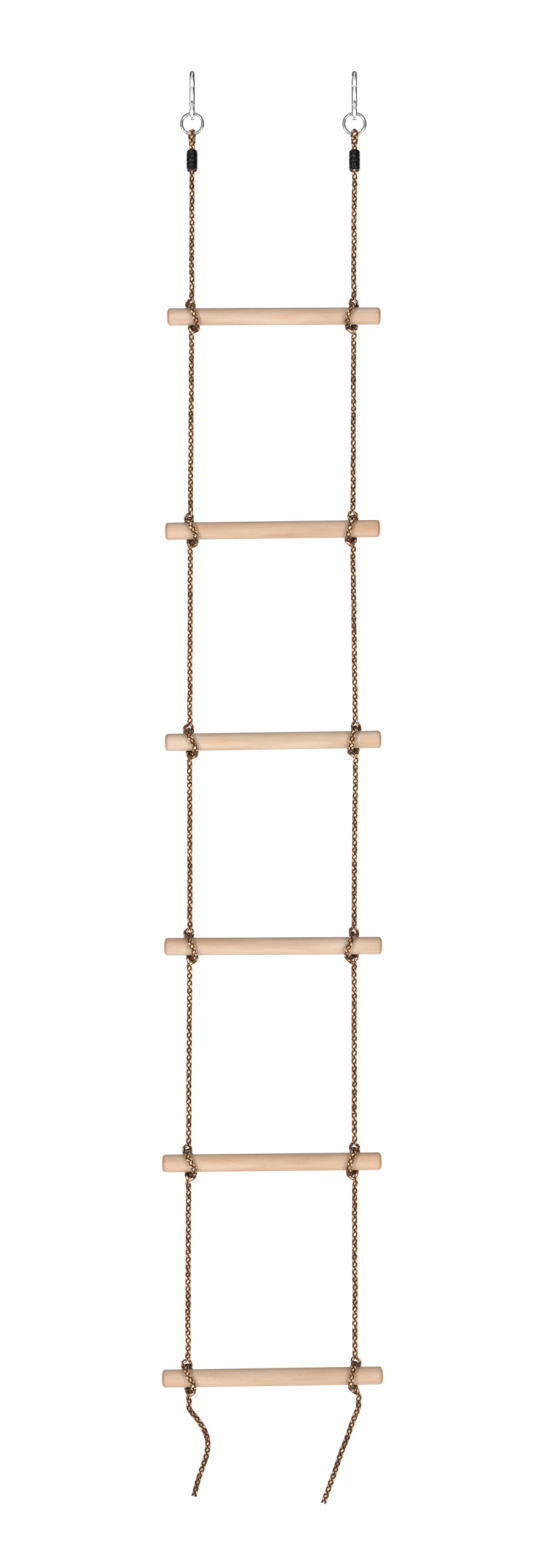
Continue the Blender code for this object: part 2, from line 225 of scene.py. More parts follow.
def rope_paint():
    """Braided yarn with fine fibres: painted shade, dark, where strands dive; tan on their crowns, rising to
    a cream painted highlight.
    """
    paint = Paint("rope_braid")
    crest_shading = paint.attribute("crest_shading")
    fibre = paint.attribute("fibre", "Vector")
    streaks = paint.noise(fibre, 1.0, 3.0, 0.65)
    patches = paint.noise(paint.stretched(fibre, (0.42, 0.42, 1.9)), 1.0, 1.0)
    height = paint.sum(crest_shading, paint.spread(streaks, 0.25, 0.75, -0.14, 0.14))
    height = paint.sum(height, paint.spread(patches, 0.32, 0.68, -0.30, 0.16))
    # The ramp runs from near-black painted shade in the valleys to cream painted highlights on the crowns.
    stops = (
        (0.00, shade("220E05")),
        (0.24, shade("3C1D08")),
        (0.40, shade("663A17")),
        (0.54, shade("90643A")),
        (0.68, shade("C69B6C")),
        (0.84, shade("FFE2BD")),
    )
    paint.set(Base_Color=paint.ramp(height, stops))
    paint.set(Roughness=paint.spread(streaks, 0.3, 0.7, 0.42, 0.60), Specular_IOR_Level=0.30)
    paint.bump(streaks, 0.55, 0.0006)
    return paint.material


def wood_paint(number, tint):
    """Pale turned beech: long grain, short dark flecks, warm patches, and a darker, warmer band at the
    rounded ends, broken up by the grain.
    """

    def tone(hexes):
        return tuple(part * share for part, share in zip(shade(hexes), tint))

    paint = Paint("beech_rung_" + str(number))
    place = paint.place()
    broad = paint.noise(paint.stretched(place, (7.0, 60.0, 60.0)), 1.0, 3.0, 0.55)
    grain = paint.noise(paint.stretched(place, (26.0, 900.0, 900.0)), 1.0, 4.0, 0.7)
    flecks = paint.noise(paint.stretched(place, (190.0, 1500.0, 1500.0)), 1.0, 1.0, 0.4)
    warm = paint.noise(paint.stretched(place, (9.0, 34.0, 34.0)), 1.0, 2.0, 0.5)
    colour = paint.ramp(
        broad,
        ((0.28, tone("CBB098")), (0.45, tone("D7BFA9")), (0.60, tone("DFCCB9")), (0.75, tone("E4D4C3"))),
    )
    lines = paint.spread(grain, 0.3, 0.7, 0.0, 0.34)
    colour = paint.mix(lines, colour, (*tone("C3A28A"), 1))
    colour = paint.mix(paint.spread(warm, 0.60, 0.74, 0.0, 0.55), colour, (*tone("D9AD88"), 1))
    colour = paint.mix(paint.spread(flecks, 0.66, 0.72, 0.0, 0.5), colour, (*tone("A87B58"), 1))
    # Darker, warmer band towards the rounded ends, broken up by the grain.
    end = paint.attribute("end")
    grain_share = paint.spread(grain, 0.3, 0.7, 0.35, 0.95)
    colour = paint.mix(paint.sum(end, grain_share, "MULTIPLY"), colour, (*tone("BC8A5C"), 1))
    paint.set(Base_Color=colour)
    paint.set(Roughness=paint.spread(grain, 0.3, 0.7, 0.50, 0.64), Specular_IOR_Level=0.35)
    paint.bump(grain, 0.18, 0.0004)
    return paint.material


def metal_paint(name, colour, low, high, scale, bump):
    """Plated steel with uneven gloss and faintly uneven faces."""
    paint = Paint(name)
    place = paint.place()
    cloud = paint.noise(place, scale, 3.0, 0.6)
    fine = paint.noise(place, scale * 14, 2.0, 0.6)
    paint.set(Base_Color=paint.mix(cloud, (*shade(colour[0]), 1), (*shade(colour[1]), 1)))
    paint.set(Metallic=1.0, Roughness=paint.spread(fine, 0.3, 0.7, low, high))
    paint.bump(paint.sum(cloud, paint.sum(fine, 0.3, "MULTIPLY")), bump, 0.0004)
    return paint.material


def plastic_paint():
    """Black moulded sleeve, glossy and slightly wavy."""
    paint = Paint("sleeve_black")
    place = paint.place()
    waves = paint.noise(place, 190.0, 2.0, 0.5)
    fine = paint.noise(place, 1500.0, 2.0, 0.6)
    paint.set(Base_Color=paint.mix(waves, (*shade("050406"), 1), (*shade("120F11"), 1)))
    paint.set(Roughness=paint.spread(fine, 0.3, 0.7, 0.10, 0.26), Specular_IOR_Level=0.22)
    paint.bump(paint.sum(waves, paint.sum(fine, 0.08, "MULTIPLY")), 0.7, 0.0022)
    return paint.material


# ---------------------------------------------------------------- mesh helpers


def build(name, points, faces, paint, slot, smooth=40):
    """A mesh piece from vertices and faces, smooth up to an angle."""
    mesh = bpy.data.meshes.new(name)
    mesh.from_pydata([tuple(p) for p in points], [], [tuple(int(i) for i in f) for f in faces])
    mesh.update()
    mesh.shade_smooth()
    if smooth:
        mesh.set_sharp_from_angle(angle=math.radians(smooth))
    mesh.materials.append(paint)
    obj = bpy.data.objects.new(name, mesh)
    bpy.context.scene.collection.objects.link(obj)
    return obj


def rings_to_mesh(rings, closed=False, caps=True):
    """Points and quads of a skin over equal rings of points, with flat ends unless it closes on itself."""
    rings = np.asarray(rings, float)
    count, sides = rings.shape[:2]
    row = np.arange(count if closed else count - 1)
    low = (row[:, None] * sides + np.arange(sides)[None, :]).ravel()
    low_next = (row[:, None] * sides + (np.arange(sides)[None, :] + 1) % sides).ravel()
    high = ((row[:, None] + 1) % count * sides + np.arange(sides)[None, :]).ravel()
    high_next = ((row[:, None] + 1) % count * sides + (np.arange(sides)[None, :] + 1) % sides).ravel()
    faces = list(np.stack([low, low_next, high_next, high], axis=1))
    if caps and not closed:
        faces.append(list(range(sides))[::-1])
        faces.append([(count - 1) * sides + k for k in range(sides)])
    return rings.reshape(-1, 3), faces


def sweep(points, halves, sides, closed=False):
    """Rings of a tube along points. X lies across the tube; halves gives (across X, the other way)."""
    points = np.asarray(points, float)
    count = len(points)
    rings = []
    angles = math.tau * (np.arange(sides) + 0.5) / sides
    for i in range(count):
        before = points[(i - 1) % count] if closed else points[max(i - 1, 0)]
        after = points[(i + 1) % count] if closed else points[min(i + 1, count - 1)]
        along = (after - before) / np.linalg.norm(after - before)
        across = np.array([1.0, 0, 0]) - along * along[0]
        across /= np.linalg.norm(across)
        other = np.cross(along, across)
        wide, deep = halves[i] if isinstance(halves, (list, tuple)) else (halves, halves)
        ring = points[i] + np.outer(np.cos(angles) * wide, across) + np.outer(np.sin(angles) * deep, other)
        rings.append(ring)
    return rings


def lathe(profile, sides, axis="x"):
    """Rings turned about an axis from (place along it, radius) pairs."""
    angles = math.tau * (np.arange(sides) + 0.5) / sides
    rings = []
    for place, radius in profile:
        a, b = radius * np.cos(angles), radius * np.sin(angles)
        along = np.full(sides, place)
        rings.append(np.stack([along, a, b] if axis == "x" else [a, b, along], axis=1))
    return rings


def block(low, high):
    """Points and faces of a box."""
    x0, y0, z0 = low
    x1, y1, z1 = high
    points = [(x0, y0, z0), (x1, y0, z0), (x1, y1, z0), (x0, y1, z0)]
    points += [(x0, y0, z1), (x1, y0, z1), (x1, y1, z1), (x0, y1, z1)]
    faces = [(3, 2, 1, 0), (4, 5, 6, 7), (0, 1, 5, 4), (1, 2, 6, 5), (2, 3, 7, 6), (3, 0, 4, 7)]
    return points, faces


def carve(obj, operation, shape):
    """Joins a helper shape to a piece, or cuts it away, and keeps only the result."""
    points, faces = shape
    helper_mesh = bpy.data.meshes.new("helper")
    helper_mesh.from_pydata([tuple(p) for p in points], [], [tuple(int(i) for i in f) for f in faces])
    helper = bpy.data.objects.new("helper", helper_mesh)
    bpy.context.scene.collection.objects.link(helper)
    step = obj.modifiers.new("carve", "BOOLEAN")
    step.operation = operation
    step.solver = "EXACT"
    step.object = helper
    settle(obj)
    bpy.data.objects.remove(helper)


def settle(obj):
    """Applies a piece's modifiers to its mesh."""
    bpy.context.view_layer.update()
    evaluated = obj.evaluated_get(bpy.context.evaluated_depsgraph_get())
    made = bpy.data.meshes.new_from_object(evaluated)
    obj.modifiers.clear()
    obj.data = made


def soften(obj, width, segments=2, angle=35):
    """Rounds a piece's hard edges a little."""
    step = obj.modifiers.new("soften", "BEVEL")
    step.width = width
    step.segments = segments
    step.limit_method = "ANGLE"
    step.angle_limit = math.radians(angle)
    step.harden_normals = False
    settle(obj)
    obj.data.shade_smooth()
    obj.data.set_sharp_from_angle(angle=math.radians(40))


def moved(shape, matrix):
    """A shape's points through a matrix, with its faces."""
    points, faces = shape
    turn = np.array(matrix.to_3x3())
    return np.asarray(points, float) @ turn.T + np.array(matrix.translation), faces


def helix(radius, wire, low, high, turns):
    """A coil of round wire round the Z axis that reaches from low to high."""
    angles = math.tau * np.linspace(0, turns, turns * 20 + 1)
    heights = np.linspace(low + wire, high - wire, len(angles))
    middle = np.stack([radius * np.cos(angles), radius * np.sin(angles), heights], axis=1)
    outward = np.stack([np.cos(angles), np.sin(angles), 0 * angles], axis=1)
    up = np.cross(unit(np.gradient(middle, axis=0)), outward)
    round_wire = math.tau * np.arange(8) / 8
    skin = outward[:, None] * np.cos(round_wire)[:, None] + up[:, None] * np.sin(round_wire)[:, None]
    return rings_to_mesh(middle[:, None] + wire * skin)


def arc(centre, radius, start, end, steps):
    """Points on an arc in the Y-Z plane. Angles are degrees from +Y towards +Z."""
    angles = np.radians(np.linspace(start, end, steps + 1))
    flat = np.zeros_like(angles)
    return np.stack([flat, centre[0] + radius * np.cos(angles), centre[1] + radius * np.sin(angles)], axis=1)


# ---------------------------------------------------------------- places from the frame


def top_of(node):
    """The middle of a CAD node's highest ring of points, in millimetres."""
    points = np.array([v.co for v in frame["nodes"][node].data.vertices], float)
    highest = points[points[:, 2] > points[:, 2].max() - 2e-5]
    return highest.mean(axis=0) / MM


hook_x = {side: joints["ring_" + side + "_swing"]["pos_m"][0] for side in SIDES}
ring_top = joints["ring_left_swing"]["pos_m"][2]
ring_foot = ring_top - 2 * RING_BEND
knots, flexes = {}, {}
for side in SIDES:
    for k in range(1, RUNGS + 1):
        spot = top_of("rope_" + side + "_knot_" + str(k))
        knots[side, k] = np.array([spot[0], 0.0, spot[2] - KNOT_REACH])
        name = "section_" + str(k + 1) + "_fold" if k < RUNGS else "tail_" + side + "_swing"
        flexes[side, k] = joints[name]["pos_m"][2] / MM


# ---------------------------------------------------------------- camera

camera_data = bpy.data.cameras.new("camera")
camera_data.lens = 71.41
camera_data.sensor_width = 36
camera_data.clip_start = 0.1
camera_data.clip_end = 200
camera = bpy.data.objects.new("camera", camera_data)
camera.location = (0.007, -5.0, -1.6845)
camera.rotation_euler = (math.radians(95.8), 0, 0)
bpy.context.scene.collection.objects.link(camera)
bpy.context.scene.camera = camera


# ---------------------------------------------------------------- ropes

# The hitch round a rung, as the rope passes it: (inward, back, up) of its middle, then the step from
# there to the inner half of the opened braid, how far it is opened, and how much painted light its
# crowns keep, below one painting shade where the strand tucks over and under the rung.
# Distances are millimetres from the rung's axis.
HITCH = (
    ((0.0, 0.0, 34.0), (0.0, 0.0, 0.0), 0.0, 1.0),
    ((-0.3, 0.2, 29.6), (0.5, 0.0, 0.0), 0.2, 1.0),
    ((-1.0, 0.8, 27.3), (2.9, 0.0, 0.1), 0.85, 1.0),
    ((-1.8, 2.2, 25.2), (5.3, 0.0, 0.4), 1.0, 1.0),
    ((-2.1, 4.4, 22.0), (5.7, 0.0, 0.6), 1.0, 1.0),
    ((-2.1, 8.8, 17.5), (5.6, 0.0, 0.3), 1.0, 0.9),
    ((-2.2, 14.0, 11.6), (4.6, 0.0, 0.0), 1.0, 0.7),
    ((-2.2, 18.0, 3.0), (2.2, 0.0, 0.0), 0.45, 0.8),
    ((-2.2, 18.8, -2.0), (0.0, 0.0, 0.0), 0.0, 1.0),
    ((-0.5, 17.7, -9.0), (0.0, 0.0, 0.0), 0.0, 0.8),
    ((0.9, 12.8, -15.8), (0.0, 0.0, 0.0), 0.0, 0.5),
    ((4.4, 1.0, -19.8), (0.0, 0.0, 0.0), 0.0, 0.45),
    ((7.8, -9.9, -16.3), (0.0, 0.0, 0.0), 0.0, 0.6),
    ((7.4, -16.5, -9.1), (0.0, 0.0, 0.0), 0.0, 1.0),
    ((4.2, -18.6, 0.0), (0.0, 0.0, 0.0), 0.0, 1.0),
    ((0.8, -16.8, 8.6), (0.0, 0.0, 0.0), 0.0, 0.95),
    ((-1.2, -10.4, 15.7), (0.0, 0.0, 0.0), 0.0, 0.6),
    ((-1.8, 0.0, 18.9), (0.0, 0.0, 0.0), 0.0, 0.45),
    ((0.5, 10.2, 16.6), (0.0, 0.0, 0.0), 0.0, 0.6),
    ((4.5, 16.4, 9.7), (0.0, 0.0, 0.0), 0.0, 0.9),
    ((6.6, 18.5, 2.0), (0.0, 0.0, 0.0), 0.0, 1.0),
    ((5.5, 18.0, -5.0), (3.0, 0.0, 0.0), 0.45, 0.9),
    ((3.4, 13.2, -13.5), (7.2, 0.0, 0.0), 1.0, 0.8),
    ((3.4, 5.8, -18.7), (7.2, -0.7, -0.4), 1.0, 1.0),
    ((2.9, 0.4, -21.9), (5.8, -1.1, -0.9), 1.0, 1.0),
    ((1.8, -1.0, -24.1), (3.7, -1.0, -1.4), 1.0, 1.0),
    ((0.6, -0.8, -26.0), (1.8, -0.8, -1.0), 0.95, 1.0),
    ((-0.5, -0.2, -28.6), (0.6, -0.2, -0.3), 0.4, 1.0),
    ((-1.0, 0.0, -31.4), (0.0, 0.0, 0.0), 0.0, 1.0),
)

# The stations of the hitch that make its front turn, how far in front of the axis that passes, and the
# height over which its lean is measured.
TURN_FIRST, TURN_LAST = 9, 18
TURN_FRONT = 18.6
TURN_RISE = 17

# How each hitch differs: how far inward its front turn sits and how much that leans, how far inward its
# upper opening sits, how wide its upper and lower openings are, and how far out the rope is as it leaves.
TIED = {
    ("left", 1): (0.3, 0.0, 0.0, 1.00, 1.00, 0.0),
    ("left", 2): (0.6, 2.0, -0.6, 0.90, 0.98, 0.0),
    ("left", 3): (0.2, 3.2, 0.1, 1.12, 1.04, 0.0),
    ("left", 4): (0.0, 0.2, 0.0, 1.00, 1.00, 0.0),
    ("left", 5): (0.7, 2.2, -0.4, 0.90, 0.98, 0.0),
    ("left", 6): (0.0, 2.6, 0.0, 1.12, 0.92, -1.5),
    ("right", 1): (3.5, -0.5, 2.1, 0.96, 1.10, 0.0),
    ("right", 2): (1.0, -2.0, 2.1, 1.06, 1.02, 0.0),
    ("right", 3): (1.2, -3.3, 0.9, 1.00, 1.00, 0.0),
    ("right", 4): (4.1, -0.8, 2.4, 0.96, 1.12, 0.0),
    ("right", 5): (2.1, -1.3, 2.1, 1.06, 1.02, 0.0),
    ("right", 6): (1.3, -3.8, 0.9, 1.00, 0.72, 5.2),
}

# The free ends below the last rung, from the last knot's flex point: (across, back, up).
TAILS = {
    "left": (
        (14, 1, -18),
        (26, 2, -36),
        (32, 3, -56),
        (30, 2, -75),
        (24, 0, -92),
        (17, -2, -112),
        (10, -4, -138),
    ),
    "right": (
        (0.5, 0, -12),
        (-5.5, 1, -27),
        (-12, 2, -46),
        (-21, 3, -68),
        (-28, 3, -88),
        (-36, 1, -110),
        (-50, -3, -149),
    ),
}

# The columns of a station and of a rope's rows
CENTRE = slice(0, 3)
SPLIT = slice(3, 6)
# The crown light column scales the painted light on the strands' crowns; below one it paints shade.
OPEN, WIDE, DEEP, LAY, CROWN_LIGHT, NUMBER = 6, 7, 8, 9, 10, 11


def station(spot, split=(0, 0, 0), opened=0.0, halves=(ROPE_HALF, ROPE_HALF), lay=SPAN_LAY, crown_light=1.0):
    """A place that a rope passes, with its opening, half width and depth, lay and how much painted light its
    crowns keep.
    """
    return [*spot, *split, opened, *halves, lay, crown_light]


def rope_route(side):
    """Stations of one side rope from its short end to its free end, and its pieces' first stations."""
    sign = SIDES[side]
    inward = -sign
    x = hook_x[side] / MM
    low, high = (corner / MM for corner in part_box("sleeve_" + side))
    bottom, top = low.z, high.z
    foot = ring_foot / MM
    middle = (top + foot) / 2
    route, cuts = [], {"eye": 0}
    leg = (LEG_HALF, LEG_HALF)
    route.append(station((x, LEG_Y, bottom + 4), halves=leg))
    route.append(station((x, LEG_Y, (bottom + top) / 2), halves=leg))
    route.append(station((x, LEG_Y, top), halves=leg))
    route.append(station((x, 5.3, middle), halves=(5.4, 3.6)))
    for angle in range(0, 181, 30):
        turn = math.radians(angle)
        halves = (6.5 - 2.3 * math.sin(turn) ** 2, EYE_HALF)
        spot = (x, EYE_BEND * math.cos(turn), foot + EYE_BEND * math.sin(turn))
        route.append(station(spot, halves=halves))
    route.append(station((x, -5.5, middle), halves=(5.6, 3.7)))
    route.append(station((x, -LEG_Y, top), halves=leg))
    route.append(station((x, -LEG_Y, (bottom + top) / 2), halves=leg))
    cuts["top"] = len(route)
    route.append(station((x, -LEG_Y, bottom + 1), halves=leg))
    first = knots[side, 1]
    step = first[0] - x
    for share, back, down in ((0.0, -3.8, 17), (0.2, -1.4, 44), (0.4, 0.0, 72)):
        route.append(station((x + step * share, back, bottom - down)))
    for share in (0.35, 0.7):
        z = (bottom - 72) * (1 - share) + (first[2] + KNOT_TOP) * share
        route.append(station((x + step * (0.4 + 0.6 * share), 0.0, z)))
    for k in range(1, RUNGS + 1):
        knot = knots[side, k]
        cuts["knot_" + str(k)] = len(route)
        turn, lean, aside, above, below, out = TIED[side, k]
        for number, ((in_, back, up), split, opened, crown_light) in enumerate(HITCH):
            if TURN_FIRST <= number <= TURN_LAST:
                leaning = lean * max(0.0, -back / TURN_FRONT) * up / TURN_RISE
                in_ += turn * smooth_step((14 - back) / 10) - leaning
            elif number < TURN_FIRST:
                in_ += aside * smooth_step((31 - up) / 4) * smooth_step((up + 2) / 12)
            in_ -= out * smooth_step((-up - 16) / 14)
            spot = (knot[0] + in_ * inward, back, knot[2] + up)
            gain = above if up > 0 else below
            split = (split[0] * gain * inward, split[1] * gain, split[2] * gain)
            route.append(station(spot, split, opened, lay=KNOT_LAY, crown_light=crown_light))
        route[-len(HITCH)][LAY] = SPAN_LAY
        start = np.array([knot[0], 0.0, flexes[side, k]])
        if k < RUNGS:
            cuts["span_" + str(k + 1)] = len(route)
            below = knots[side, k + 1]
            end = np.array([below[0], 0.0, below[2] + KNOT_TOP])
            route.append(station(start + [0, 0, 10.5]))
            for share in (0.0, 0.08, 0.25, 0.5, 0.75, 0.93):
                route.append(station(start + (end - start) * share))
        else:
            cuts["tail"] = len(route)
            # Along the free end the crowns keep less of their painted light.
            route.append(station(start + [out * sign, 0, 10.5], lay=TAIL_LAY, crown_light=0.9))
            route.append(station(start + [out * sign, 0, 0], lay=TAIL_LAY, crown_light=0.8))
            for spot in TAILS[side]:
                route.append(station(start + spot, lay=TAIL_LAY, crown_light=0.78))
    return route, cuts


def resample(route, step):
    """Evenly spaced rows through the stations. The last column is the station number."""
    rows = np.array(route, float)
    gaps = np.linalg.norm(np.diff(rows[:, CENTRE], axis=0), axis=1)
    slopes = np.diff(rows, axis=0) / gaps[:, None]
    tangents = np.empty_like(rows)
    weight = gaps[:, None]
    tangents[1:-1] = (slopes[:-1] * weight[1:] + slopes[1:] * weight[:-1]) / (weight[:-1] + weight[1:])
    tangents[0], tangents[-1] = slopes[0], slopes[-1]
    dense = []
    for i, gap in enumerate(gaps):
        t = np.arange(math.ceil(gap / FINE_STEP))[:, None] / math.ceil(gap / FINE_STEP)
        here = rows[i] * (2 * t**3 - 3 * t**2 + 1) + tangents[i] * gap * (t**3 - 2 * t**2 + t)
        there = rows[i + 1] * (3 * t**2 - 2 * t**3) + tangents[i + 1] * gap * (t**3 - t**2)
        dense.append(np.hstack([here + there, i + t]))
    dense.append(np.append(rows[-1], len(rows) - 1)[None, :])
    dense = np.vstack(dense)
    run = np.append(0, np.cumsum(np.linalg.norm(np.diff(dense[:, CENTRE], axis=0), axis=1)))
    places = np.linspace(0, run[-1], round(run[-1] / step) + 1)
    return np.column_stack([np.interp(places, run, column) for column in dense.T]), places


def unit(vectors):
    """Directions of the vectors along the last axis."""
    return vectors / np.linalg.norm(vectors, axis=-1, keepdims=True)


def smooth_step(value):
    """Eased share between 0 and 1."""
    value = np.clip(value, 0, 1)
    return value * value * (3 - 2 * value)


def wander(places, seed, pitch, size):
    """A smooth irregular wave along the rope."""
    rng = np.random.default_rng(seed)
    knots_at = np.arange(0, places[-1] + 2 * pitch, pitch)
    values = rng.uniform(-size, size, len(knots_at))
    at = places / pitch
    low = np.floor(at).astype(int)
    share = smooth_step(at - low)
    return values[low] * (1 - share) + values[low + 1] * share


def runs_of(numbers):
    """The numbers cut into runs that follow one another."""
    return np.split(numbers, np.flatnonzero(np.diff(numbers) > 1) + 1)


def openings_of(opened):
    """First and last row of every opened stretch."""
    return [(group[0], group[-1]) for group in runs_of(np.flatnonzero(opened > 0.03)) if len(group)]


def braid_phase(rows, places, openings, seed):
    """How far the strands have wound at each row, still and well placed where the braid is opened."""
    moving = 1 - smooth_step(rows[:, OPEN] * 2.5)
    lay = rows[:, LAY] * (1 + wander(places, seed, 31.0, 0.06))
    rate = math.tau / lay * moving
    phase = np.append(0, np.cumsum((rate[1:] + rate[:-1]) / 2 * np.diff(places)))
    anchors, shifts = [0.0], [0.0]
    for first, last in openings:
        middle = phase[(first + last) // 2]
        quarter = math.pi / 2
        target = round((middle + shifts[-1] - math.pi / 4) / quarter) * quarter + math.pi / 4
        for row in (first, last):
            anchors.append(places[row])
            shifts.append(target - middle)
    return phase + np.interp(places, anchors, shifts)


class Rope:
    """One side rope: its rows, directions and strands, from which pieces are cut."""

    def __init__(self, side, seed):
        self.side = side
        route, self.cuts = rope_route(side)
        self.rows, self.places = resample(route, STEP)
        rows, places = self.rows, self.places
        rows[:, 0] += wander(places, seed + 1, 23.0, 0.35)
        self.tangent = unit(np.gradient(rows[:, CENTRE], axis=0))
        side_axis = np.array([1.0, 0, 0]) - self.tangent * self.tangent[:, :1]
        self.across = unit(side_axis)
        self.normal = np.cross(self.tangent, self.across)
        self.openings = openings_of(rows[:, OPEN])
        self.phase = braid_phase(rows, places, self.openings, seed + 2)
        self.strands = [self.strand(index, turn) for index in range(4) for turn in (1, -1)]

    def strand(self, index, turn):
        """Middle line, outward direction and opening of one of the eight strands."""
        rows = self.rows
        angle = index * math.pi / 2 + turn * self.phase
        bulge = turn * np.cos(4 * self.phase)
        reach = STRAND_REACH + STRAND_RISE * bulge
        outward = self.across * np.cos(angle)[:, None] + self.normal * np.sin(angle)[:, None]
        closed = outward * reach[:, None]
        parted = closed.copy()
        parted_outward = outward.copy()
        for first, last in self.openings:
            span = slice(first, last + 1)
            middle = (first + last) // 2
            group = 1 if math.cos(angle[middle]) > 0 else -1
            upper = 1 if math.sin(angle[middle]) > 0 else -1
            start = math.radians(45 if turn < 0 else 135) * upper
            if group < 0:
                start = math.pi - start
            travel = self.places[span] - self.places[middle]
            twist = start + group * math.tau * travel / BUNDLE_LAY
            apart = rows[span, SPLIT] * group * -SIDES[self.side]
            along = unit(np.gradient(rows[span, CENTRE] + apart, axis=0))
            normal = self.normal[span]
            normal = unit(normal - along * (normal * along).sum(axis=1, keepdims=True))
            spin = np.cross(normal, along) * np.cos(twist)[:, None] + normal * np.sin(twist)[:, None]
            pulse = 1 + 0.22 * np.cos(math.tau * travel / PULSE_PITCH + start * 2)
            parted[span] = apart + spin * (BUNDLE_REACH * pulse)[:, None]
            parted_outward[span] = spin
        share = smooth_step(rows[:, OPEN])[:, None]
        line = closed * (1 - share) + parted * share
        facing = unit(outward * (1 - share) + parted_outward * share + self.tangent * 1e-6)
        return {"line": line, "facing": facing, "bulge": bulge, "share": share[:, 0]}

    def flatten(self, offsets, span):
        """Offsets from the middle line, scaled to the rope's width and depth at each row."""
        rows = self.rows[span]
        across, normal = self.across[span][:, None], self.normal[span][:, None]
        wide = (rows[:, WIDE] / ROPE_HALF - 1)[:, None, None]
        deep = (rows[:, DEEP] / ROPE_HALF - 1)[:, None, None]
        offsets = offsets + across * (offsets * across).sum(axis=2, keepdims=True) * wide
        return offsets + normal * (offsets * normal).sum(axis=2, keepdims=True) * deep

    def row_of(self, number):
        """The first row at or past a station."""
        return int(np.searchsorted(self.rows[:, NUMBER], number))

    def centreline(self, first, last):
        """The rope's middle from one row to another, in metres."""
        return self.rows[first : last + 1, CENTRE] * MM

    def strand_skin(self, number, span):
        """Rings of a strand's skin, with its painted shading from how far each point stands out, and its
        place in the yarn.
        """
        strand = self.strands[number]
        along = unit(np.gradient(self.rows[:, CENTRE] + strand["line"], axis=0))[span]
        line, facing, share = (strand[key][span] for key in ("line", "facing", "share"))
        outward = unit(facing - along * (facing * along).sum(axis=1, keepdims=True))
        wide_way = np.cross(outward, along)
        wide = STRAND_WIDE * (1 - share) + BUNDLE_WIDE * share
        thick = STRAND_THICK * (1 - share) + BUNDLE_THICK * share
        angles = math.tau * (np.arange(STRAND_SIDES) + 0.5) / STRAND_SIDES
        offsets = (
            line[:, None]
            + wide_way[:, None] * (wide[:, None] * np.cos(angles))[..., None]
            + outward[:, None] * (thick[:, None] * np.sin(angles))[..., None]
        )
        middle = self.rows[span, CENTRE]
        skin = (middle[:, None] + self.flatten(offsets, span)) * MM

        places = self.places[span]
        # Painted light and shade: each strand's outer face (crown) and the stretches riding over a crossing
        # (rise) are painted light; its sides and the stretches diving under are painted dark as shade.
        crown = np.clip(np.sin(angles), 0, 1) ** 1.1
        rise = 0.5 + 0.5 * strand["bulge"][span]
        swell = 0.80 + 0.30 * np.cos(math.tau * places / SWELL_PITCH + number * 1.9)
        rise = rise * (1 - share) + swell * share
        tone = 1 + wander(self.places, 900 + number, 5.2, 0.34)[span]
        # The crown light column dims this painted light, painting shade where the hitch tucks round the rung.
        rise = rise**1.6 * self.rows[span, CROWN_LIGHT] * tone
        crest_shading = np.clip((0.12 + 0.88 * rise[:, None]) * (0.22 + 0.78 * crown[None, :]), 0, 1)

        run = np.append(0, np.cumsum(np.linalg.norm(np.diff(line + middle, axis=0), axis=1)))
        run = run + places[0]
        spin = angles[None, :] + run[:, None] * math.tau / FIBRE_TWIST
        lengths = np.repeat(run[:, None], len(angles), axis=1) * 0.22
        grain = [np.cos(spin) * 3.2 + number * 11, np.sin(spin) * 3.2 + number * 5, lengths]
        return skin, crest_shading.ravel(), np.stack(grain, axis=2).reshape(-1, 3)

    def core_skin(self, part, sealed):
        """Rings of the dark core's skin over one closed stretch, with the same values at each point: the core
        fills the gaps between the strands in the dark tone of painted shade.
        """
        angles = math.tau * np.arange(CORE_SIDES) / CORE_SIDES
        offsets = (CORE_REACH + CORE_SWELL * sealed)[:, None, None] * (
            self.across[part][:, None] * np.cos(angles)[:, None]
            + self.normal[part][:, None] * np.sin(angles)[:, None]
        )
        skin = (self.rows[part, CENTRE][:, None] + self.flatten(offsets, part)) * MM
        # The core's low shading value paints it as the shade between the strands; it is lighter where a cut
        # end is sealed.
        return skin, np.repeat(0.28 + 0.16 * sealed, CORE_SIDES), skin.reshape(-1, 3) / MM * 0.2

    def piece(self, name, first, last, paint, tip=False):
        """The strands and the core, dark with painted shade, from one row to another as one mesh piece."""
        span = slice(first, last + 1)
        points, faces, crest_shading, fibre = [], [], [], []

        def add(skin, high, grain, caps):
            start = sum(len(part) for part in points)
            flat, skin_faces = rings_to_mesh(skin, caps=caps)
            points.append(flat)
            faces.extend(np.asarray(face) + start for face in skin_faces)
            crest_shading.append(high)
            fibre.append(grain)
            return start + len(flat)

        for number in range(len(self.strands)):
            after = add(*self.strand_skin(number, span), caps=False)
            if tip:
                faces.append(np.arange(after - STRAND_SIDES, after))
        for group in runs_of(np.flatnonzero(self.rows[span, OPEN] < 0.2)):
            if len(group) < 2:
                continue
            part = slice(first + group[0], first + group[-1] + 1)
            sealed = np.zeros(len(group))
            if tip and group[-1] == last - first:
                sealed = smooth_step((self.places[part] - self.places[last] + 3.0) / 1.6)
            add(*self.core_skin(part, sealed), caps=True)
        obj = build(name, np.vstack(points), faces, paint, "rope", smooth=0)
        levels = obj.data.attributes.new("crest_shading", "FLOAT", "POINT")
        levels.data.foreach_set("value", np.concatenate(crest_shading).astype(np.float32))
        grains = obj.data.attributes.new("fibre", "FLOAT_VECTOR", "POINT")
        grains.data.foreach_set("vector", np.vstack(fibre).astype(np.float32).ravel())
        return obj


def length_of(path):
    """How long a path of points is."""
    return float(np.linalg.norm(np.diff(path, axis=0), axis=1).sum())


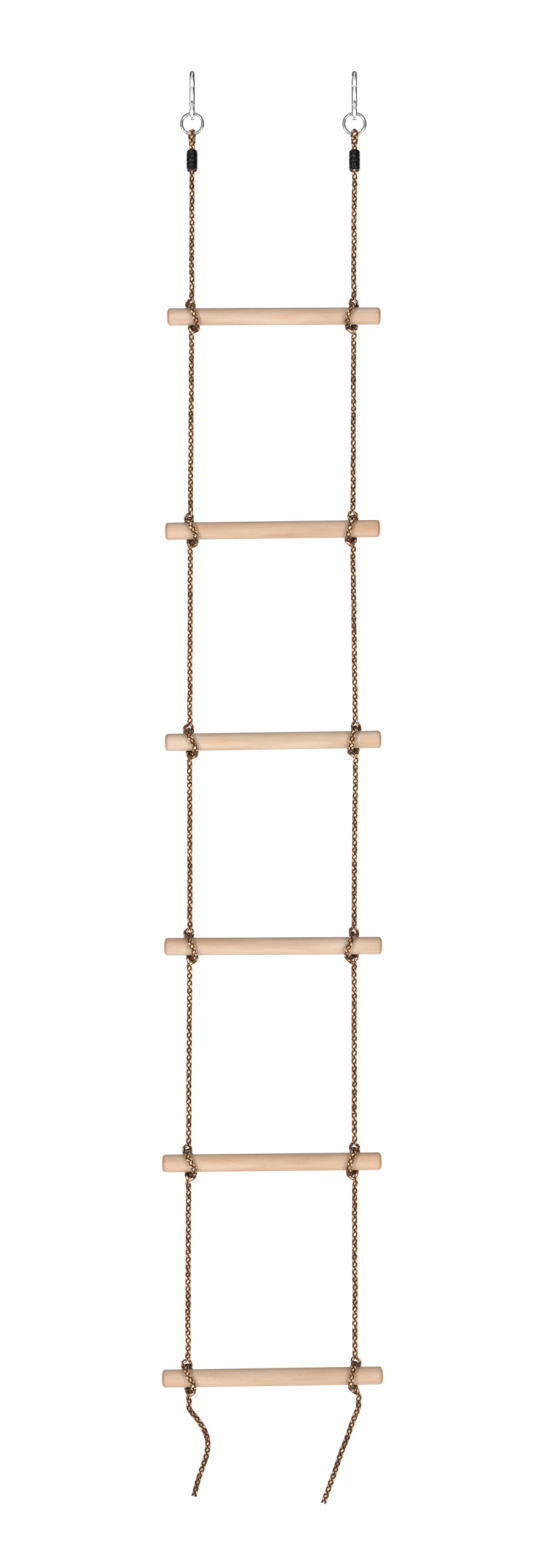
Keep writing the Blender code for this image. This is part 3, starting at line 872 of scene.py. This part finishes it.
def make_ropes(paint):
    """Both side ropes, cut into pieces; the eye, the standing part and the hitches are attached to their
    sections.
    """
    for number, side in enumerate(SIDES):
        rope = Rope(side, 100 + 50 * number)
        first = rope.row_of(rope.cuts["top"])
        eye = rope.piece("rope_" + side + "_eye", 0, first, paint)
        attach(eye, "section_1")
        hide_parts("rope_" + side + "_top")
        last = rope.row_of(rope.cuts["knot_1"])
        top = rope.piece("rope_" + side + "_standing", first, last, paint)
        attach(top, "section_1")
        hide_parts("rope_" + side + "_top")
        declare(rope, first, last)
        for k in range(1, RUNGS + 1):
            start = last
            following = "span_" + str(k + 1) if k < RUNGS else "tail"
            last = rope.row_of(rope.cuts[following])
            knot = rope.piece("rope_" + side + "_hitch_" + str(k), start, last, paint)
            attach(knot, "section_" + str(k))
            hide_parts("rope_" + side + "_knot_" + str(k))
            start = last
            if k < RUNGS:
                last = rope.row_of(rope.cuts["knot_" + str(k + 1)])
                span = rope.piece("rope_" + side + "_run_" + str(k + 1), start, last, paint)
                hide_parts("rope_" + side + "_span_" + str(k + 1))
                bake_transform(span)
                declare(rope, start, last)
            else:
                last = len(rope.rows) - 1
                tail = rope.piece("rope_" + side + "_free_end", start, last, paint, tip=True)
                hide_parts("rope_" + side + "_tail")
                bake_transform(tail)
                declare(rope, start, last)


def declare(rope, first, last):
    """Measures the length of a rope piece's middle line; the length is not used."""
    path = rope.centreline(first, last)
    length_of(path)


# ---------------------------------------------------------------- rungs


def make_rungs():
    """Turned wooden bars with rounded ends."""
    half = RUNG_HALF
    for k in range(1, RUNGS + 1):
        low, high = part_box("rung_" + str(k))
        centre = (low + high) / 2
        left, right = knots["left", k], knots["right", k]
        tilt = math.atan2(right[2] - left[2], right[0] - left[0])
        profile = [(-half, 0.0001), (-half, 0.0035), (-half, RUNG_FACE)]
        for step in range(1, 11):
            turn = math.radians(9 * step)
            inset = RUNG_ROUNDING * (1 - math.cos(turn))
            profile.append((-half + inset, RUNG_FACE + (RUNG_RADIUS - RUNG_FACE) * math.sin(turn)))
        profile += [(-half + inset, RUNG_RADIUS) for inset in (0.012, 0.04, 0.09, 0.13)]
        profile += [(-x, radius) for x, radius in reversed(profile)]
        points, faces = rings_to_mesh(lathe(profile, 96))
        name = "rung_" + str(k) + "_bar"
        rung = build(name, points, faces, wood_paint(k, RUNG_TINTS[k - 1]), "rung_wood", smooth=30)
        inset = np.array([half - abs(v.co.x) for v in rung.data.vertices])
        ends = rung.data.attributes.new("end", "FLOAT", "POINT")
        ends.data.foreach_set("value", (1 - smooth_step((inset - END_BAND) / END_BAND)).astype(np.float32))
        rung.data.transform(Matrix.Translation(centre) @ Matrix.Rotation(-tilt, 4, "Y"))
        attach(rung, "section_" + str(k))
        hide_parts("rung_" + str(k))


# ---------------------------------------------------------------- hooks, gates, rings, sleeves


def rivet_hole():
    """The cutter for the gate's hinge, in the gate's own space."""
    return rings_to_mesh(lathe(((-0.006, RIVET_HOLE), (0.006, RIVET_HOLE)), 32))


def make_wire(side, pivot, line, gate_space, paint):
    """A hook bent from one wire, with a flat tang for the gate's hinge and a slot in its nose."""
    tilt = math.degrees(math.atan2(-line.y, line.z))
    head = HOOK_WIRE - HEAD_BEND
    foot = 3 * HOOK_WIRE - HOOK_LENGTH + FOOT_BEND

    def on_line(distance):
        return np.array([[0, pivot.y + line.y * distance, pivot.z + line.z * distance]])

    route = np.vstack(
        [
            on_line(NOSE_END),
            on_line(NOSE_END + 0.0006),
            arc((0, head), HEAD_BEND, 180 + tilt, -tilt, 44),
            arc((0, foot), FOOT_BEND, -tilt, -180 + tilt, 36),
            on_line(SHOULDER - 0.0004),
            on_line(SHOULDER),
        ]
    )
    halves = [(HOOK_WIRE, HOOK_WIRE)] * len(route)
    halves[0] = halves[-1] = (HOOK_WIRE - 0.0004, HOOK_WIRE - 0.0004)
    bent = moved(rings_to_mesh(sweep(route, halves, 36)), Matrix.Translation((pivot.x, 0, 0)))
    hook = build("hook_" + side + "_wire", *bent, paint, "zinc_steel")
    tang = block((-TANG_HALF, -0.0032, SHOULDER - 0.002), (TANG_HALF, 0.0032, 0.0028))
    carve(hook, "UNION", moved(tang, gate_space))
    carve(hook, "DIFFERENCE", moved(rivet_hole(), gate_space))
    nose_slot = block((-TANG_HALF, -0.0002, NOSE_END - 0.002), (TANG_HALF, 0.006, 0.0332))
    carve(hook, "DIFFERENCE", moved(nose_slot, gate_space))
    soften(hook, 0.00025)
    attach(hook, "hooks")
    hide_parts("hook_" + side)


def make_gate(side, gate_space, paint):
    """A round gate bar, forked at its hinge, with a latch at its tip, a bore inside and its rivet."""
    bar = [(-0.0048, 0.0036), (-0.0045, 0.0040), (0.0283, 0.0040), (0.0286, 0.0037)]
    gate = build("gate_" + side + "_bar", *rings_to_mesh(lathe(bar, 48, "z")), paint, "zinc_steel")
    carve(gate, "UNION", block((-0.0014, 0.0002, 0.0266), (0.0014, 0.0030, 0.0326)))
    carve(gate, "DIFFERENCE", block((-FORK_HALF, -0.006, -0.0068), (FORK_HALF, 0.006, 0.006)))
    carve(gate, "DIFFERENCE", rings_to_mesh(lathe(((0.004, GATE_BORE), (0.024, GATE_BORE)), 32, "z")))
    carve(gate, "DIFFERENCE", rivet_hole())
    soften(gate, 0.0002)
    gate.data.transform(gate_space)
    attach(gate, "gate_" + side)
    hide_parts("gate_" + side)

    rivet = [(-0.0050, 0.0004), (-0.00495, 0.0012), (-0.0047, 0.0018), (-0.0043, 0.0020), (-0.00429, 0.0012)]
    rivet += [(-x, radius) for x, radius in reversed(rivet)]
    shape = moved(rings_to_mesh(lathe(rivet, 32)), gate_space)
    pin = build("gate_" + side + "_rivet", *shape, paint, "zinc_steel")
    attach(pin, "gate_" + side)
    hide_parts("gate_pin_" + side)


def make_plunger(side, gate_space, paint):
    """The pin inside the gate that its spring pushes, and that spring."""
    push = [(0.0031, 0.0010), (0.0033, 0.0012), (0.0064, 0.0012)]
    push += [(0.0066, 0.0020), (0.0090, 0.0020), (0.0092, 0.0018)]
    shape = moved(rings_to_mesh(lathe(push, 28, "z")), gate_space)
    plunger = build("gate_" + side + "_push_pin", *shape, paint, "zinc_steel")
    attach(plunger, "plunger_" + side)
    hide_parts("gate_plunger_" + side)

    shape = moved(helix(COIL_RADIUS, COIL_WIRE, COIL_LOW, COIL_HIGH, COIL_TURNS), gate_space)
    coil = build("gate_" + side + "_coil", *shape, paint, "spring_steel")
    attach(coil, "gate_" + side)
    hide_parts("gate_spring_" + side)
    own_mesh(coil)


def make_hook(side, paints):
    """A bent wire hook with its sprung gate, whose own space starts at its pivot with its bar along Z."""
    pivot = Vector(joints["gate_" + side + "_hinge"]["pos_m"])
    line = Vector(joints["gate_" + side + "_plunger"]["axis"])
    gate_space = Matrix.Translation(pivot) @ Matrix.Rotation(math.atan2(-line.y, line.z), 4, "X")
    make_wire(side, pivot, line, gate_space, paints["zinc"])
    make_gate(side, gate_space, paints["zinc"])
    make_plunger(side, gate_space, paints["spring"])


def make_ring(side, paint):
    """A welded round ring with a faint seam beside its foot."""
    steps = 128
    turns = math.tau * np.arange(steps) / steps - math.pi / 2
    centre = np.array([hook_x[side], 0, ring_top - RING_BEND])
    angles = math.tau * (np.arange(28) + 0.5) / 28
    rings = []
    for turn in turns:
        seam = math.exp(-(((turn + math.pi / 2 + 0.62) % math.tau / 0.045) ** 2))
        wire = RING_WIRE - RING_SEAM + RING_SEAM * seam
        reach = RING_BEND + wire * np.cos(angles)
        ring = [reach * math.cos(turn), wire * np.sin(angles), reach * math.sin(turn)]
        rings.append(centre + np.stack(ring, axis=1))
    points, faces = rings_to_mesh(rings, closed=True)
    ring = build("ring_" + side + "_wire", points, faces, paint, "ring_steel")
    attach(ring, "ring_" + side)
    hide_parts("ring_" + side)


def make_sleeve(side, paint):
    """A ribbed black clamp sleeve, dished at both ends where the rope goes in."""
    low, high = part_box("sleeve_" + side)
    x = hook_x[side]
    top, bottom = high.z, low.z
    band = (top - bottom) / SLEEVE_BANDS
    levels = [(0.0000, 0.0034), (0.0004, 0.0023), (0.0012, 0.0012), (0.0024, 0.0004), (0.0038, 0.0)]
    heights = [(top - down, cut) for down, cut in levels]
    for i in range(1, SLEEVE_BANDS):
        middle = top - i * band
        groove = [(0.0013, 0.0), (0.0009, 0.0001), (0.0004, 0.00034), (0.0, 0.00045)]
        heights += [(middle + offset, cut) for offset, cut in groove]
        heights += [(middle - offset, cut) for offset, cut in reversed(groove[:3])]
    heights += [(bottom + down, cut) for down, cut in reversed(levels)]
    path = [(0, 0, z) for z, _ in heights]
    halves = [(SLEEVE_WIDE - cut, SLEEVE_DEEP - cut) for _, cut in heights]
    outer = rings_to_mesh(sweep(path, halves, 56))
    sleeve = build("sleeve_" + side + "_clamp", *moved(outer, Matrix.Translation((x, 0, 0))), paint, "sleeve")
    outline = []
    for i in range(32):
        angle = math.tau * (i + 0.5) / 32
        shift = LEG_Y * MM if math.sin(angle) > 0 else -LEG_Y * MM
        outline.append((x + SLEEVE_BORE * math.cos(angle), shift + SLEEVE_BORE * math.sin(angle)))
    bore = [[(px, py, z) for px, py in outline] for z in (bottom - 0.002, top + 0.002)]
    carve(sleeve, "DIFFERENCE", rings_to_mesh(bore))
    soften(sleeve, 0.0005, 3, 50)
    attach(sleeve, "section_1")
    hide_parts("sleeve_" + side)


# ---------------------------------------------------------------- studio


def make_light(name, place, target, size, power, colour=(1, 1, 1)):
    """A rectangular lamp at a place, turned to a target."""
    data = bpy.data.lights.new(name, "AREA")
    data.shape = "RECTANGLE"
    data.size, data.size_y = size
    data.energy = power
    data.color = colour
    light = bpy.data.objects.new(name, data)
    light.location = place
    light.rotation_euler = (Vector(target) - Vector(place)).to_track_quat("-Z", "Y").to_euler()
    light.visible_camera = False
    bpy.context.scene.collection.objects.link(light)


def make_world():
    """White for the camera, soft grey light all round, and a darker field behind for the metal to mirror."""
    world = bpy.data.worlds.new("studio")
    bpy.context.scene.world = world
    world.use_nodes = True
    tree = world.node_tree
    tree.nodes.clear()
    link = tree.links.new
    output = tree.nodes.new("ShaderNodeOutputWorld")
    rays = tree.nodes.new("ShaderNodeLightPath")
    coordinates = tree.nodes.new("ShaderNodeTexCoord")
    backdrop = tree.nodes.new("ShaderNodeBackground")
    backdrop.inputs["Color"].default_value = (1, 1, 1, 1)
    backdrop.inputs["Strength"].default_value = 1.0
    soft = tree.nodes.new("ShaderNodeBackground")
    soft.inputs["Color"].default_value = (1, 0.95, 0.90, 1)
    soft.inputs["Strength"].default_value = 0.24
    mirrored = tree.nodes.new("ShaderNodeBackground")
    ramp = tree.nodes.new("ShaderNodeValToRGB")
    points = ramp.color_ramp.elements
    points[0].position = 0.0
    points[0].color = (1.0, 1.0, 1.0, 1)
    points[1].position = 0.15
    points[1].color = (0.62, 0.63, 0.66, 1)
    for place, grey in ((0.28, 0.95), (0.44, 0.28), (0.54, 0.03), (0.85, 0.04), (1.0, 0.16)):
        points.new(place).color = (grey, grey, grey * 1.05, 1)
    lean = tree.nodes.new("ShaderNodeVectorMath")
    lean.operation = "DOT_PRODUCT"
    lean.inputs[1].default_value = (0.22, 0.62, 0.34)
    centred = tree.nodes.new("ShaderNodeMath")
    centred.inputs[1].default_value = 0.5
    link(coordinates.outputs["Generated"], lean.inputs[0])
    link(lean.outputs["Value"], centred.inputs[0])
    link(centred.outputs[0], ramp.inputs["Fac"])
    link(ramp.outputs["Color"], mirrored.inputs["Color"])
    first = tree.nodes.new("ShaderNodeMixShader")
    link(rays.outputs["Is Glossy Ray"], first.inputs[0])
    link(soft.outputs[0], first.inputs[1])
    link(mirrored.outputs[0], first.inputs[2])
    second = tree.nodes.new("ShaderNodeMixShader")
    link(rays.outputs["Is Camera Ray"], second.inputs[0])
    link(first.outputs[0], second.inputs[1])
    link(backdrop.outputs[0], second.inputs[2])
    link(second.outputs[0], output.inputs["Surface"])


def make_studio():
    """A pale floor well below the ladder, a soft key from the front left, and gentle fills."""
    paint = Paint("studio_floor")
    grain = paint.noise(paint.place(), 3.0, 2.0)
    paint.set(Base_Color=paint.mix(grain, (0.86, 0.86, 0.86, 1), (0.9, 0.9, 0.9, 1)), Roughness=0.9)
    paint.set(Emission_Color=(1, 1, 1, 1), Emission_Strength=0.46)
    turns = math.tau * np.arange(FLOOR_SIDES) / FLOOR_SIDES
    height = np.full(FLOOR_SIDES, FLOOR_HEIGHT)
    points = np.stack([FLOOR_RADIUS * np.cos(turns), FLOOR_RADIUS * np.sin(turns), height], axis=1)
    floor = build("floor", points, [range(FLOOR_SIDES)], paint.material, None)
    middle = (0, 0, -1.15)
    make_light("key", (-3.1, -4.0, -1.1), middle, (0.5, 2.4), 124)
    make_light("fill", (3.0, -3.6, -1.2), middle, (1.6, 2.4), 98, (1, 0.96, 0.90))
    make_light("over", (0, -0.6, 2.6), middle, (2.2, 2.2), 13)
    make_light("back_left", (-2.4, 3.4, -0.6), middle, (1.4, 2.4), 42)
    make_light("back_right", (2.6, 3.2, -1.0), middle, (1.4, 2.4), 42)
    make_world()
    bpy.context.scene.view_settings.view_transform = "Standard"


# ---------------------------------------------------------------- the whole ladder

rope = rope_paint()
make_ropes(rope)
make_rungs()
paints = {
    "zinc": metal_paint("zinc_plate", ("DDDEE0", "F2F2F4"), 0.16, 0.30, 120.0, 0.10),
    "ring": metal_paint("ring_plate", ("8E9598", "B8BEC1"), 0.05, 0.12, 90.0, 0.05),
    "spring": metal_paint("spring_wire", ("46484C", "6A6C70"), 0.22, 0.34, 300.0, 0.05),
}
black = plastic_paint()
for side in SIDES:
    make_hook(side, paints)
    make_ring(side, paints["ring"])
    make_sleeve(side, black)
make_studio()
